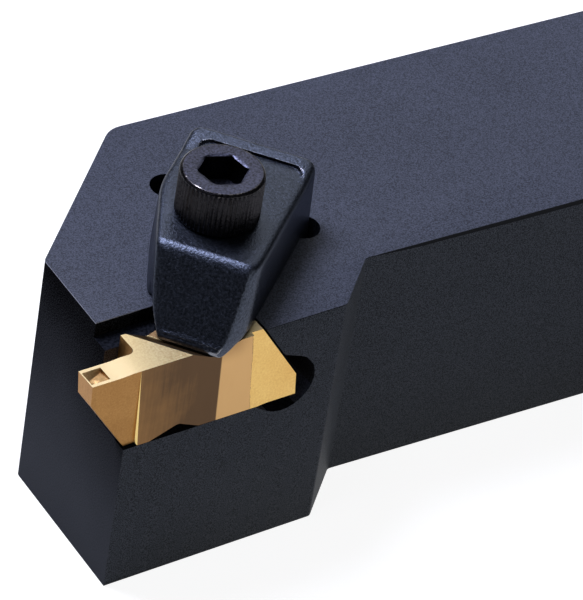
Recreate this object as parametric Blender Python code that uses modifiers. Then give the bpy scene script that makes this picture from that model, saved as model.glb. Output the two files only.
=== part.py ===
"""Threading toolholder with a notched on-edge insert, a finger clamp and its cap screw.

Metres, +Z up. The cutting tip points towards -X and the shank's tail towards +X. The holder
stands on its flat underside, and the origin is the middle of the whole tool at that height.
"""

import math

import bmesh
import bpy
from mathutils import Matrix, Vector

# Holder: a square shank with a head that is offset to one side
OVERALL_LENGTH = 0.1524
TIP_OFFSET = 0.03175
SHANK_WIDTH = 0.0254
SHANK_HEIGHT = 0.0254
HEAD_LENGTH = 0.0275
HEAD_FLARE = math.radians(2.5)
FRONT_WIDTH = 0.01645
CHAMFER_ANGLE = math.radians(45.0)
TRANSITION_ANGLE = math.radians(45.0)
FAR_CORNER_RADIUS = 0.0028
CORNER_RADIUS = 0.0006
SHANK_EDGE_BREAK = 0.00045
HEAD_EDGE_BREAK = 0.00015

# Insert: double ended, the same when it is turned half a turn about its face normal
INSERT_LENGTH = 0.0225
INSERT_HEIGHT = 0.0088
INSERT_THICKNESS = 0.00495
INSERT_REACH = 0.00435
INSERT_PROUD = 0.00015
INSERT_DROP = 0.00015
BLADE_WIDTH = 0.00239
BLADE_LENGTH = 0.0059
SHOULDER_FILLET = 0.0007
LAND_HEIGHT = 0.0024
LAND_RELIEF = math.radians(4.0)
FRONT_RELIEF = math.radians(34.0)
SIDE_RELIEF = math.radians(3.0)
STEP_DISTANCE = 0.0050
STEP_LEAN = math.radians(4.5)
LAND_DROP = 0.0001
LAND_LENGTH = 0.0031
CHIP_POCKET_LENGTH = 0.0019
CHIP_POCKET_WIDTH = 0.0017
CHIP_POCKET_DEPTH = 0.00035
CHIP_RIM = 0.00012

# Notch across both edges of the insert, where the clamp's toe bears
NOTCH_ANGLE = math.radians(38.5)
NOTCH_START = 0.01035
NOTCH_FRONT_RUN = 0.00215
NOTCH_FLOOR_WIDTH = 0.0003
NOTCH_REAR_RUN = 0.00275
NOTCH_DEPTH = 0.0010
NOTCH_FILLET = 0.0012

# Pocket in the head for the insert, and the recess for the toe behind it
INSERT_GAP = 0.0002
RELIEF_RADIUS = 0.0031
RELIEF_BACK = 0.0011
RELIEF_RISE = 0.0015
RELIEF_ROOF_HEIGHT = 0.0051
RELIEF_FLOOR_START = 0.0042
RECESS_DEPTH = 0.0016
RECESS_WIDTH = 0.0022
RECESS_LENGTH = 0.0110
RECESS_RADIUS = 0.0010

# Clamp: a forged finger with a toe on the insert and a heel in the holder's slot
CLAMP_WIDTH = 0.0125
CLAMP_HEIGHT = 0.0062
CLAMP_GAP = 0.0003
CLAMP_DRAFT = math.radians(2.0)
CLAMP_SHOULDER = 0.0009
CLAMP_SHOULDER_SWEEP = math.radians(75.0)
CLAMP_TAIL = 0.0110
CLAMP_BROW = 0.00563
CLAMP_BROW_FILLET = 0.0013
CLAMP_FRONT_SLOPE = math.radians(33.0)
CLAMP_TAPER_LENGTH = 0.0090
CLAMP_TAPER = math.radians(16.5)
NOSE_TAPER = math.radians(24.0)
CLAMP_CORNER_RADIUS = 0.0010
NOSE_DEPTH = 0.0006
TOE_GAP = 0.00015
TOE_RADIUS = 0.0004
TOE_WIDTH = 0.0057
TOE_INSET = 0.0021
TOE_END_SLOPE = math.radians(40.0)
HEEL_THICKNESS = 0.0029
HEEL_DEPTH = 0.0026
HEEL_FILLET = 0.0004
RIM_HEIGHT = 0.0005
RIM_RUN = 0.0033
RIM_WALL = 0.0014
RIM_SIDE = 0.0005
RIM_CORNER = 0.0012

# Slot in the holder's top face for the heel
SLOT_LENGTH = 0.0164
SLOT_SHIFT = 0.0007

# Cap screw and its hole; the axis lies this far behind the head's front face
SCREW_BACK = 0.01335
SCREW_INBOARD = 0.0042
SCREW_DIAMETER = 0.00483
SCREW_LENGTH = 0.01905
HEAD_DIAMETER = 0.00792
HEAD_HEIGHT = 0.00483
HEAD_CHAMFER = 0.00035
SCREW_POINT_CHAMFER = 0.0006
SOCKET_FLATS = 0.00397
SOCKET_DEPTH = 0.0026
KNURL_COUNT = 56
KNURL_DEPTH = 0.00011
SCREW_CLEARANCE = 0.0003
HOLE_SPARE_DEPTH = 0.0022
DRILL_POINT = math.radians(59.0)

# Fineness of round shapes, and how far cutters reach past what they cut
ROUND_STEPS = 48
ARC_STEP = math.radians(15.0)
OVERSHOOT = 0.003
MERGE_DISTANCE = 0.000002

# Places that follow from the sizes above
X_TAIL = OVERALL_LENGTH / 2
X_TIP = -OVERALL_LENGTH / 2
Y_FAR = TIP_OFFSET / 2
Y_TIP = -TIP_OFFSET / 2
Y_NEAR = Y_FAR - SHANK_WIDTH
BLADE_INNER = BLADE_WIDTH - INSERT_PROUD
X_FRONT = X_TIP + INSERT_REACH * math.cos(HEAD_FLARE) + BLADE_INNER * math.sin(HEAD_FLARE)
Y_CORNER = Y_TIP + INSERT_REACH * math.sin(HEAD_FLARE) + INSERT_PROUD * math.cos(HEAD_FLARE)
CLAMP_ANGLE = HEAD_FLARE + NOTCH_ANGLE
HEEL_SLOT_WIDTH = HEEL_THICKNESS + 2 * CLAMP_GAP
SCREW_X = X_FRONT + SCREW_BACK
SCREW_Y = Y_NEAR + SCREW_INBOARD


def clear_scene():
    """Remove every object of the open scene."""
    for item in list(bpy.data.objects):
        bpy.data.objects.remove(item, do_unlink=True)


def new_collection(name):
    """Make a collection and link it to the scene."""
    collection = bpy.data.collections.new(name)
    bpy.context.scene.collection.children.link(collection)
    return collection


def new_material(name, colour, roughness, metallic):
    """Make a Principled BSDF material."""
    material = bpy.data.materials.new(name)
    material.use_nodes = True
    shader = material.node_tree.nodes["Principled BSDF"]
    shader.inputs["Base Color"].default_value = (*colour, 1.0)
    shader.inputs["Roughness"].default_value = roughness
    shader.inputs["Metallic"].default_value = metallic
    return material


def new_empty(name, location, angle, collection):
    """Add an empty that other objects are placed by, turned about Z."""
    empty = bpy.data.objects.new(name, None)
    empty.location = location
    empty.rotation_euler = (0.0, 0.0, angle)
    empty.empty_display_size = 0.005
    collection.objects.link(empty)
    return empty


def arc(centre, radius, start, end):
    """Points along an arc, both ends included."""
    count = max(2, math.ceil(abs(end - start) / ARC_STEP))
    points = []
    for step in range(count + 1):
        angle = start + (end - start) * step / count
        points.append(centre + Vector((math.cos(angle), math.sin(angle))) * radius)
    return points


def rounded_outline(corners):
    """Turn (x, y, radius) corners into a closed outline whose corners are arcs.

    A radius is limited so that its arc takes at most half of the shorter side beside it.
    """
    outline = []
    for index, (x, y, radius) in enumerate(corners):
        here = Vector((x, y))
        if radius <= 0.0:
            outline.append(here)
            continue
        before = Vector(corners[index - 1][:2]) - here
        after = Vector(corners[(index + 1) % len(corners)][:2]) - here
        half = before.angle(after) / 2
        reach = min(radius / math.tan(half), 0.49 * before.length, 0.49 * after.length)
        radius = reach * math.tan(half)
        middle = (before.normalized() + after.normalized()).normalized()
        centre = here + middle * (radius / math.sin(half))
        first = here + before.normalized() * reach - centre
        last = here + after.normalized() * reach - centre
        start = math.atan2(first.y, first.x)
        turn = first.angle_signed(last)
        outline.extend(arc(centre, radius, start, start - turn))
    return outline


def tangent_angle(point, centre, radius, side):
    """Angle on a circle where the tangent from a point touches it, on one side or the other."""
    to_point = point - centre
    spread = math.acos(min(1.0, radius / to_point.length))
    return math.atan2(to_point.y, to_point.x) + side * spread


def plate(name, outline, low, high, collection):
    """Solid between two heights whose section is a flat outline."""
    curve = bpy.data.curves.new(name, "CURVE")
    curve.dimensions = "2D"
    curve.fill_mode = "BOTH"
    curve.extrude = (high - low) / 2
    spline = curve.splines.new("POLY")
    spline.points.add(len(outline) - 1)
    for knot, point in zip(spline.points, outline):
        knot.co = (point[0], point[1], 0.0, 1.0)
    spline.use_cyclic_u = True
    drawn = bpy.data.objects.new(name + "_outline", curve)
    collection.objects.link(drawn)
    bpy.context.view_layer.update()
    graph = bpy.context.evaluated_depsgraph_get()
    mesh = bpy.data.meshes.new_from_object(drawn.evaluated_get(graph))
    bpy.data.objects.remove(drawn, do_unlink=True)
    bpy.data.curves.remove(curve)
    mesh.name = name
    mesh.transform(Matrix.Translation((0.0, 0.0, (low + high) / 2)))
    form = bmesh.new()
    form.from_mesh(mesh)
    bmesh.ops.remove_doubles(form, verts=form.verts, dist=MERGE_DISTANCE)
    bmesh.ops.dissolve_limit(
        form, angle_limit=math.radians(0.2), verts=form.verts, edges=form.edges
    )
    bmesh.ops.recalc_face_normals(form, faces=form.faces)
    form.to_mesh(mesh)
    form.free()
    solid = bpy.data.objects.new(name, mesh)
    collection.objects.link(solid)
    return solid


def side_plate(name, outline, near, far, collection):
    """Solid whose section in X and Z is an outline, between two depths along Y."""
    solid = plate(name, outline, -far, -near, collection)
    solid.data.transform(Matrix.Rotation(math.pi / 2, 4, "X"))
    return solid


def turned(name, profile, collection):
    """Solid of revolution about Z from (radius, height) points, listed from the top down."""
    mesh = bpy.data.meshes.new(name)
    points = [(radius, 0.0, height) for radius, height in profile]
    edges = [(index, index + 1) for index in range(len(points) - 1)]
    mesh.from_pydata(points, edges, [])
    solid = bpy.data.objects.new(name, mesh)
    collection.objects.link(solid)
    screw = solid.modifiers.new("turn", "SCREW")
    screw.axis = "Z"
    screw.angle = math.tau
    screw.steps = ROUND_STEPS
    screw.render_steps = ROUND_STEPS
    screw.use_merge_vertices = True
    screw.merge_threshold = MERGE_DISTANCE
    return solid


def join(body, cutter, operation):
    """Cut a body by another one, or join or intersect them."""
    modifier = body.modifiers.new(cutter.name, "BOOLEAN")
    modifier.operation = operation
    modifier.object = cutter


def as_cutter(solid, parent):
    """Hide a solid from the model and place it by its parent."""
    solid.parent = parent
    solid.hide_render = True
    solid.display_type = "WIRE"
    return solid


def shade_round(solid, limit):
    """Shade a solid's mesh smooth, with edges over the limit kept sharp."""
    solid.data.shade_smooth()
    solid.data.set_sharp_from_angle(angle=limit)


def holder_outline():
    """Plan of the whole holder: shank, offset head, chamfered nose and 45 degree transition."""
    chamfer_run = SHANK_WIDTH + Y_NEAR - Y_CORNER - FRONT_WIDTH
    chamfer_x = X_FRONT + chamfer_run / math.tan(CHAMFER_ANGLE)
    transition_x = X_FRONT + HEAD_LENGTH
    depth_at_shank = Y_NEAR - Y_CORNER - HEAD_LENGTH * math.tan(HEAD_FLARE)
    closing = math.tan(TRANSITION_ANGLE) - math.tan(HEAD_FLARE)
    side_end_x = transition_x - depth_at_shank / closing
    side_end_y = Y_CORNER + (side_end_x - X_FRONT) * math.tan(HEAD_FLARE)
    return rounded_outline([
        (X_TAIL, Y_NEAR, 0.0),
        (X_TAIL, Y_FAR, 0.0),
        (chamfer_x, Y_FAR, FAR_CORNER_RADIUS),
        (X_FRONT, Y_CORNER + FRONT_WIDTH, CORNER_RADIUS),
        (X_FRONT, Y_CORNER, 0.0),
        (side_end_x, side_end_y, CORNER_RADIUS),
        (transition_x, Y_NEAR, CORNER_RADIUS),
    ])


def mark_edge_breaks(solid):
    """Weight the rims for the Bevel: full on the shank's long edges, less round the head."""
    mesh = solid.data
    weights = mesh.attributes.new("bevel_weight_edge", "FLOAT", "EDGE")
    for edge in mesh.edges:
        first = mesh.vertices[edge.vertices[0]].co
        last = mesh.vertices[edge.vertices[1]].co
        level = abs(first.z - last.z) < MERGE_DISTANCE
        along_shank = abs(first.y - last.y) < MERGE_DISTANCE
        if level and along_shank:
            weights.data[edge.index].value = 1.0
        elif level:
            weights.data[edge.index].value = HEAD_EDGE_BREAK / SHANK_EDGE_BREAK


def pocket_outline():
    """Section of the insert's pocket, in the insert's own X and Z from its middle.

    The floor and the slanted rear wall follow the insert with the insert gap. Behind them a
    round relief clears the idle cutting edge, and straight runs lead into it on both sides.
    """
    half_length = INSERT_LENGTH / 2
    half_height = INSERT_HEIGHT / 2
    floor = -half_height - INSERT_GAP
    land_end = half_length - LAND_HEIGHT * math.tan(LAND_RELIEF)
    slant = math.tan(FRONT_RELIEF)
    wall_shift = INSERT_GAP / math.cos(FRONT_RELIEF)

    def wall_x(height):
        """X of the rear wall at a height."""
        return land_end + wall_shift - (height + half_height - LAND_HEIGHT) * slant

    centre = Vector((half_length - RELIEF_BACK, -half_height + RELIEF_RISE))
    roof_height = -half_height + RELIEF_ROOF_HEIGHT
    roof = Vector((wall_x(roof_height), roof_height))
    entry = Vector((half_length - RELIEF_FLOOR_START, floor))
    low_angle = tangent_angle(entry, centre, RELIEF_RADIUS, 1.0)
    high_angle = tangent_angle(roof, centre, RELIEF_RADIUS, -1.0)
    while high_angle < low_angle:
        high_angle += math.tau
    top = half_height + OVERSHOOT
    front = -half_length - OVERSHOOT
    outline = [Vector((front, floor)), entry]
    outline.extend(arc(centre, RELIEF_RADIUS, low_angle, high_angle))
    outline.extend([roof, Vector((wall_x(top), top)), Vector((front, top))])
    return outline


def recess_outline():
    """Plan of the shallow recess beside the insert, in the insert's X and Y."""
    inner = INSERT_THICKNESS / 2 + RECESS_WIDTH
    end = -INSERT_LENGTH / 2 + INSERT_REACH + RECESS_LENGTH
    front = -INSERT_LENGTH / 2 - OVERSHOOT
    return rounded_outline([
        (front, 0.0, 0.0),
        (end, 0.0, 0.0),
        (end, inner, RECESS_RADIUS),
        (front, inner, 0.0),
    ])


def slot_outline():
    """Plan of the heel's slot, round at both ends, in the clamp's X and Y."""
    radius = HEEL_SLOT_WIDTH / 2
    middle = CLAMP_TAIL - HEEL_THICKNESS / 2
    half = SLOT_LENGTH / 2 - radius
    outline = arc(Vector((middle, SLOT_SHIFT + half)), radius, 0.0, math.pi)
    outline.extend(arc(Vector((middle, SLOT_SHIFT - half)), radius, math.pi, math.tau))
    return outline


def make_holder(parts, cutters, insert_seat, screw_axis):
    """One-piece steel holder with its pocket, recess, heel slot and screw hole."""
    holder = plate("holder", holder_outline(), 0.0, SHANK_HEIGHT, parts)
    mark_edge_breaks(holder)
    bevel = holder.modifiers.new("edge_breaks", "BEVEL")
    bevel.limit_method = "WEIGHT"
    bevel.width = SHANK_EDGE_BREAK
    bevel.segments = 2

    outside = -INSERT_THICKNESS / 2 - OVERSHOOT
    back = INSERT_THICKNESS / 2 + INSERT_GAP
    pocket = side_plate("insert_pocket", pocket_outline(), outside, back, cutters)
    join(holder, as_cutter(pocket, insert_seat), "DIFFERENCE")

    top = INSERT_HEIGHT / 2 + INSERT_DROP
    recess = plate("toe_recess", recess_outline(), top - RECESS_DEPTH, top + OVERSHOOT, cutters)
    join(holder, as_cutter(recess, insert_seat), "DIFFERENCE")

    slot_floor = -HEEL_DEPTH - CLAMP_GAP
    slot = plate("heel_slot", slot_outline(), slot_floor, OVERSHOOT, cutters)
    join(holder, as_cutter(slot, screw_axis), "DIFFERENCE")

    radius = SCREW_DIAMETER / 2 + SCREW_CLEARANCE
    bottom = CLAMP_HEIGHT - SCREW_LENGTH - HOLE_SPARE_DEPTH
    point = bottom - radius / math.tan(DRILL_POINT)
    profile = [(0.0, OVERSHOOT), (radius, OVERSHOOT), (radius, bottom), (0.0, point)]
    hole = turned("screw_hole", profile, cutters)
    join(holder, as_cutter(hole, screw_axis), "DIFFERENCE")
    return holder


def insert_outline():
    """Side of the insert about its middle: two cutting ends, each with a land and a relief."""
    half_length = INSERT_LENGTH / 2
    half_height = INSERT_HEIGHT / 2
    land_end = half_length - LAND_HEIGHT * math.tan(LAND_RELIEF)
    relief_run = (INSERT_HEIGHT - LAND_HEIGHT) * math.tan(FRONT_RELIEF)
    end = [
        Vector((-half_length, half_height)),
        Vector((-land_end, half_height - LAND_HEIGHT)),
        Vector((-land_end + relief_run, -half_height)),
    ]
    return end + [-point for point in end]


def notch_outline():
    """Section of the notch on the insert's outer face, a shallow V with a round floor."""
    top = INSERT_HEIGHT / 2
    start = -INSERT_LENGTH / 2 + NOTCH_START
    floor_start = start + NOTCH_FRONT_RUN
    floor = top - NOTCH_DEPTH
    front_rise = OVERSHOOT * NOTCH_FRONT_RUN / NOTCH_DEPTH
    rear_rise = OVERSHOOT * NOTCH_REAR_RUN / NOTCH_DEPTH
    return rounded_outline([
        (start - front_rise, top + OVERSHOOT, 0.0),
        (floor_start, floor, NOTCH_FILLET),
        (floor_start + NOTCH_FLOOR_WIDTH, floor, NOTCH_FILLET),
        (floor_start + NOTCH_FLOOR_WIDTH + NOTCH_REAR_RUN + rear_rise, top + OVERSHOOT, 0.0),
    ])


def insert_end_cutters(cutters):
    """Cutters for the front end of the insert, in the insert's own frame."""
    tip = -INSERT_LENGTH / 2
    top = INSERT_HEIGHT / 2
    face = -INSERT_THICKNESS / 2
    back = INSERT_THICKNESS / 2
    low = -top - OVERSHOOT
    high = top + OVERSHOOT
    blade_back = face + BLADE_WIDTH
    shoulder = tip + BLADE_LENGTH

    shoulder_cut = plate("insert_shoulder", rounded_outline([
        (tip - OVERSHOOT, blade_back, 0.0),
        (shoulder, blade_back, SHOULDER_FILLET),
        (shoulder, back + OVERSHOOT, 0.0),
        (tip - OVERSHOOT, back + OVERSHOOT, 0.0),
    ]), low, high, cutters)
    lean_back = Matrix.Identity(4)
    lean_back[1][2] = math.tan(SIDE_RELIEF)
    pivot = Matrix.Translation((0.0, 0.0, top))
    shoulder_cut.data.transform(pivot @ lean_back @ pivot.inverted())

    step = tip + STEP_DISTANCE
    side_cut = plate("insert_side_relief", [
        Vector((tip - OVERSHOOT, face - OVERSHOOT)),
        Vector((step, face - OVERSHOOT)),
        Vector((step, face)),
        Vector((tip - OVERSHOOT, face)),
    ], low, top, cutters)
    lean_in = Matrix.Identity(4)
    lean_in[1][2] = -math.tan(SIDE_RELIEF)
    lean_in[0][2] = -math.tan(STEP_LEAN)
    side_cut.data.transform(pivot @ lean_in @ pivot.inverted())

    land_cut = plate("insert_land", [
        Vector((tip - OVERSHOOT, face - OVERSHOOT)),
        Vector((tip + LAND_LENGTH, face - OVERSHOOT)),
        Vector((tip + LAND_LENGTH, blade_back + OVERSHOOT)),
        Vector((tip - OVERSHOOT, blade_back + OVERSHOOT)),
    ], top - LAND_DROP, high, cutters)

    middle = face + BLADE_WIDTH / 2
    pocket_start = tip + CHIP_RIM
    chip_cut = plate("insert_chip_pocket", [
        Vector((pocket_start, middle - CHIP_POCKET_WIDTH / 2)),
        Vector((pocket_start + CHIP_POCKET_LENGTH, middle - CHIP_POCKET_WIDTH / 2)),
        Vector((pocket_start + CHIP_POCKET_LENGTH, middle + CHIP_POCKET_WIDTH / 2)),
        Vector((pocket_start, middle + CHIP_POCKET_WIDTH / 2)),
    ], top - LAND_DROP - CHIP_POCKET_DEPTH, high, cutters)

    reach = INSERT_THICKNESS / 2 + OVERSHOOT
    notch = side_plate("insert_notch", notch_outline(), -reach, reach, cutters)
    slant = Matrix.Identity(4)
    slant[0][1] = -math.tan(NOTCH_ANGLE)
    start = Matrix.Translation((0.0, face, 0.0))
    notch.data.transform(start @ slant @ start.inverted())
    return [shoulder_cut, side_cut, land_cut, chip_cut, notch]


def make_insert(parts, cutters, insert_seat):
    """Carbide insert with a thin blade at each end and a slanted notch in each edge."""
    half = INSERT_THICKNESS / 2
    insert = side_plate("insert", insert_outline(), -half, half, parts)
    insert.parent = insert_seat
    half_turn = Matrix.Rotation(math.pi, 4, "Y")
    for cutter in insert_end_cutters(cutters):
        other_end = bpy.data.objects.new(cutter.name + "_rear", cutter.data.copy())
        other_end.data.transform(half_turn)
        cutters.objects.link(other_end)
        join(insert, as_cutter(cutter, insert_seat), "DIFFERENCE")
        join(insert, as_cutter(other_end, insert_seat), "DIFFERENCE")
    return insert


def front_face_x(height):
    """X of the clamp's sloping front face at a height above the holder's top."""
    return -CLAMP_BROW - (CLAMP_HEIGHT - height) * math.tan(CLAMP_FRONT_SLOPE)


def notch_floor_x():
    """X of the far edge of the notch's floor in the clamp's frame, and the rear flank's angle."""
    along = NOTCH_START + NOTCH_FRONT_RUN + NOTCH_FLOOR_WIDTH - INSERT_REACH
    edge_x = X_FRONT + along * math.cos(HEAD_FLARE) - SCREW_X
    edge_y = Y_CORNER + along * math.sin(HEAD_FLARE) - SCREW_Y
    floor_x = edge_x * math.cos(CLAMP_ANGLE) + edge_y * math.sin(CLAMP_ANGLE)
    flank = math.atan2(NOTCH_DEPTH, NOTCH_REAR_RUN * math.cos(NOTCH_ANGLE))
    return floor_x, flank


def toe_centre():
    """Centre of the round toe in the clamp's X and Z, at the toe gap to floor and rear flank."""
    floor_x, flank = notch_floor_x()
    reach = TOE_RADIUS + TOE_GAP
    floor_z = -INSERT_DROP - NOTCH_DEPTH
    return Vector((floor_x - reach * math.tan(flank / 2), floor_z + reach))


def clamp_side():
    """Side of the clamp in X and Z about the screw axis, with its heel and raised tail."""
    rim_start = CLAMP_TAIL - RIM_RUN
    heel_front = CLAMP_TAIL - HEEL_THICKNESS
    floor_x, flank = notch_floor_x()
    nose_z = -NOSE_DEPTH
    flank_x = floor_x + (nose_z + INSERT_DROP + NOTCH_DEPTH) / math.tan(flank)
    nose_x = flank_x - TOE_GAP / math.sin(flank)
    root_x = nose_x + (CLAMP_GAP - nose_z) / math.tan(flank)
    return rounded_outline([
        (min(front_face_x(nose_z), nose_x), nose_z, 0.0),
        (nose_x, nose_z, 0.0),
        (root_x, CLAMP_GAP, 0.0),
        (heel_front, CLAMP_GAP, HEEL_FILLET),
        (heel_front, -HEEL_DEPTH, HEEL_FILLET),
        (CLAMP_TAIL, -HEEL_DEPTH, HEEL_FILLET),
        (CLAMP_TAIL, CLAMP_HEIGHT + RIM_HEIGHT, HEEL_FILLET),
        (rim_start, CLAMP_HEIGHT, 0.0),
        (-CLAMP_BROW, CLAMP_HEIGHT, CLAMP_BROW_FILLET),
    ])


def clamp_plan():
    """Plan of the clamp at its foot, narrowed on one side towards the toe."""
    half = CLAMP_WIDTH / 2
    front = toe_centre().x - TOE_RADIUS - OVERSHOOT
    taper_start = CLAMP_TAIL - CLAMP_TAPER_LENGTH
    at_brow = half - (taper_start + CLAMP_BROW) * math.tan(CLAMP_TAPER)
    inner = at_brow + (front + CLAMP_BROW) * math.tan(NOSE_TAPER)
    return rounded_outline([
        (front, -half, 0.0),
        (CLAMP_TAIL, -half, CLAMP_CORNER_RADIUS),
        (CLAMP_TAIL, half, CLAMP_CORNER_RADIUS),
        (taper_start, half, 2 * CLAMP_CORNER_RADIUS),
        (-CLAMP_BROW, at_brow, 2 * CLAMP_CORNER_RADIUS),
        (front, inner, 0.0),
    ])


def clamp_front():
    """Front of the clamp in Y and Z: drafted sides with round shoulders below the rim."""
    half = CLAMP_WIDTH / 2
    low = -HEEL_DEPTH - OVERSHOOT
    high = CLAMP_HEIGHT + RIM_HEIGHT + OVERSHOOT
    shoulder_z = CLAMP_HEIGHT - CLAMP_SHOULDER
    side = half - shoulder_z * math.tan(CLAMP_DRAFT)
    foot = half - low * math.tan(CLAMP_DRAFT)
    right = arc(
        Vector((side - CLAMP_SHOULDER, shoulder_z)), CLAMP_SHOULDER, 0.0, CLAMP_SHOULDER_SWEEP
    )
    left = [Vector((-point.x, point.y)) for point in reversed(right)]
    top = right[-1].x
    return (
        [Vector((foot, low))] + right + [Vector((top, high)), Vector((-top, high))]
        + left + [Vector((-foot, low))]
    )


def front_plate(name, outline, near, far, collection):
    """Solid whose section in Y and Z is an outline, between two places along X."""
    solid = plate(name, outline, near, far, collection)
    solid.data.transform(Matrix(((0, 0, 1, 0), (1, 0, 0, 0), (0, 1, 0, 0), (0, 0, 0, 1))))
    return solid


def toe_end_outline(side):
    """Section in Y and Z of the wedge that slopes off one end of the nose and toe."""
    centre = toe_centre()
    bottom = centre.y - TOE_RADIUS
    end = -CLAMP_WIDTH / 2 + TOE_INSET + TOE_WIDTH / 2 + side * TOE_WIDTH / 2
    rise = CLAMP_HEIGHT / 2
    spread = rise * math.tan(TOE_END_SLOPE)
    points = [
        Vector((end, bottom)),
        Vector((end + side * spread, bottom + rise)),
        Vector((end + side * (spread + OVERSHOOT), bottom + rise)),
        Vector((end + side * (spread + OVERSHOOT), bottom - OVERSHOOT)),
        Vector((end, bottom - OVERSHOOT)),
    ]
    return points if side > 0 else points[::-1]


def make_toe(cutters):
    """Round bar across the nose that bears in the insert's notch."""
    bar = bpy.data.meshes.new("clamp_toe")
    form = bmesh.new()
    bmesh.ops.create_cone(
        form, cap_ends=True, segments=ROUND_STEPS // 2, depth=CLAMP_WIDTH + 4 * OVERSHOOT,
        radius1=TOE_RADIUS, radius2=TOE_RADIUS,
    )
    form.to_mesh(bar)
    form.free()
    toe = bpy.data.objects.new("clamp_toe", bar)
    cutters.objects.link(toe)
    centre = toe_centre()
    toe.rotation_euler = (math.pi / 2, 0.0, 0.0)
    toe.location = (centre.x, 0.0, centre.y)
    return toe


def make_clamp(parts, cutters, screw_axis):
    """Forged clamp: three outlines intersected, with a round toe, sloped ends, bore and seat."""
    half = CLAMP_WIDTH / 2
    spare = half + OVERSHOOT
    clamp = side_plate("clamp", clamp_side(), -spare, spare, parts)
    clamp.parent = screw_axis
    join(clamp, as_cutter(make_toe(cutters), screw_axis), "UNION")

    low = -HEEL_DEPTH - OVERSHOOT
    high = CLAMP_HEIGHT + RIM_HEIGHT + OVERSHOOT
    front = toe_centre().x - OVERSHOOT
    section = front_plate(
        "clamp_section", clamp_front(), front, CLAMP_TAIL + OVERSHOOT, cutters
    )
    join(clamp, as_cutter(section, screw_axis), "INTERSECT")
    plan = plate("clamp_plan", clamp_plan(), low - OVERSHOOT, high + OVERSHOOT, cutters)
    join(clamp, as_cutter(plan, screw_axis), "INTERSECT")
    ends_stop = -CLAMP_BROW
    for name, side in (("toe_end_left", 1.0), ("toe_end_right", -1.0)):
        wedge = front_plate(name, toe_end_outline(side), front, ends_stop, cutters)
        join(clamp, as_cutter(wedge, screw_axis), "DIFFERENCE")

    radius = SCREW_DIAMETER / 2 + SCREW_CLEARANCE
    bore = turned("clamp_bore", [(0.0, high), (radius, high), (radius, low), (0.0, low)], cutters)
    join(clamp, as_cutter(bore, screw_axis), "DIFFERENCE")

    seat_half = half - CLAMP_SHOULDER - RIM_SIDE
    seat_end = CLAMP_TAIL - RIM_WALL
    seat = plate("clamp_seat", rounded_outline([
        (0.0, -seat_half, 0.0),
        (seat_end, -seat_half, RIM_CORNER),
        (seat_end, seat_half, RIM_CORNER),
        (0.0, seat_half, 0.0),
    ]), CLAMP_HEIGHT, high, cutters)
    join(clamp, as_cutter(seat, screw_axis), "DIFFERENCE")
    return clamp


def make_screw(parts, cutters, screw_axis):
    """Socket-head cap screw with a knurled head, standing a gap above the clamp."""
    seat = CLAMP_HEIGHT + CLAMP_GAP
    top = seat + HEAD_HEIGHT
    shank = SCREW_DIAMETER / 2
    tip = seat - SCREW_LENGTH

    knurl = []
    for index in range(2 * KNURL_COUNT):
        angle = math.tau * index / (2 * KNURL_COUNT)
        radius = HEAD_DIAMETER / 2 - (index % 2) * KNURL_DEPTH
        knurl.append(Vector((math.cos(angle), math.sin(angle))) * radius)
    screw = plate("clamp_screw", knurl, seat, top, parts)
    screw.parent = screw_axis

    rim = HEAD_DIAMETER / 2
    crown = turned("screw_crown", [
        (0.0, top), (rim - HEAD_CHAMFER, top), (rim + OVERSHOOT, top - HEAD_CHAMFER - OVERSHOOT),
        (rim + OVERSHOOT, seat - OVERSHOOT), (0.0, seat - OVERSHOOT),
    ], cutters)
    join(screw, as_cutter(crown, screw_axis), "INTERSECT")

    middle = (seat + top) / 2
    shaft = turned("screw_shaft", [
        (0.0, middle), (shank, middle), (shank, tip + SCREW_POINT_CHAMFER),
        (shank - SCREW_POINT_CHAMFER, tip), (0.0, tip),
    ], cutters)
    join(screw, as_cutter(shaft, screw_axis), "UNION")

    corner = SOCKET_FLATS / math.sqrt(3.0)
    hexagon = []
    for index in range(6):
        angle = math.tau * index / 6
        hexagon.append(Vector((math.cos(angle), math.sin(angle))) * corner)
    socket = plate("screw_socket", hexagon, top - SOCKET_DEPTH, top + OVERSHOOT, cutters)
    join(screw, as_cutter(socket, screw_axis), "DIFFERENCE")
    return screw


def main():
    """Build the whole tool."""
    clear_scene()
    parts = new_collection("threading_toolholder")
    cutters = new_collection("cutters")

    along = INSERT_LENGTH / 2 - INSERT_REACH
    inward = INSERT_THICKNESS / 2 - INSERT_PROUD
    seat_x = X_FRONT + along * math.cos(HEAD_FLARE) - inward * math.sin(HEAD_FLARE)
    seat_y = Y_CORNER + along * math.sin(HEAD_FLARE) + inward * math.cos(HEAD_FLARE)
    seat_z = SHANK_HEIGHT - INSERT_DROP - INSERT_HEIGHT / 2
    insert_seat = new_empty("insert_seat", (seat_x, seat_y, seat_z), HEAD_FLARE, parts)
    axis_foot = (SCREW_X, SCREW_Y, SHANK_HEIGHT)
    screw_axis = new_empty("screw_axis", axis_foot, CLAMP_ANGLE, parts)

    oxide = new_material("black_oxide_steel", (0.075, 0.085, 0.115), 0.45, 0.6)
    forged = new_material("forged_oxide_steel", (0.045, 0.05, 0.07), 0.5, 0.6)
    gold = new_material("gold_coated_carbide", (0.78, 0.56, 0.24), 0.35, 0.85)
    screw_steel = new_material("oxide_screw_steel", (0.05, 0.045, 0.05), 0.4, 0.8)

    pieces = (
        (make_holder(parts, cutters, insert_seat, screw_axis), oxide),
        (make_insert(parts, cutters, insert_seat), gold),
        (make_clamp(parts, cutters, screw_axis), forged),
        (make_screw(parts, cutters, screw_axis), screw_steel),
    )
    for solid, material in pieces:
        solid.data.materials.append(material)
        shade_round(solid, math.radians(30.0))


main()
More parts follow.
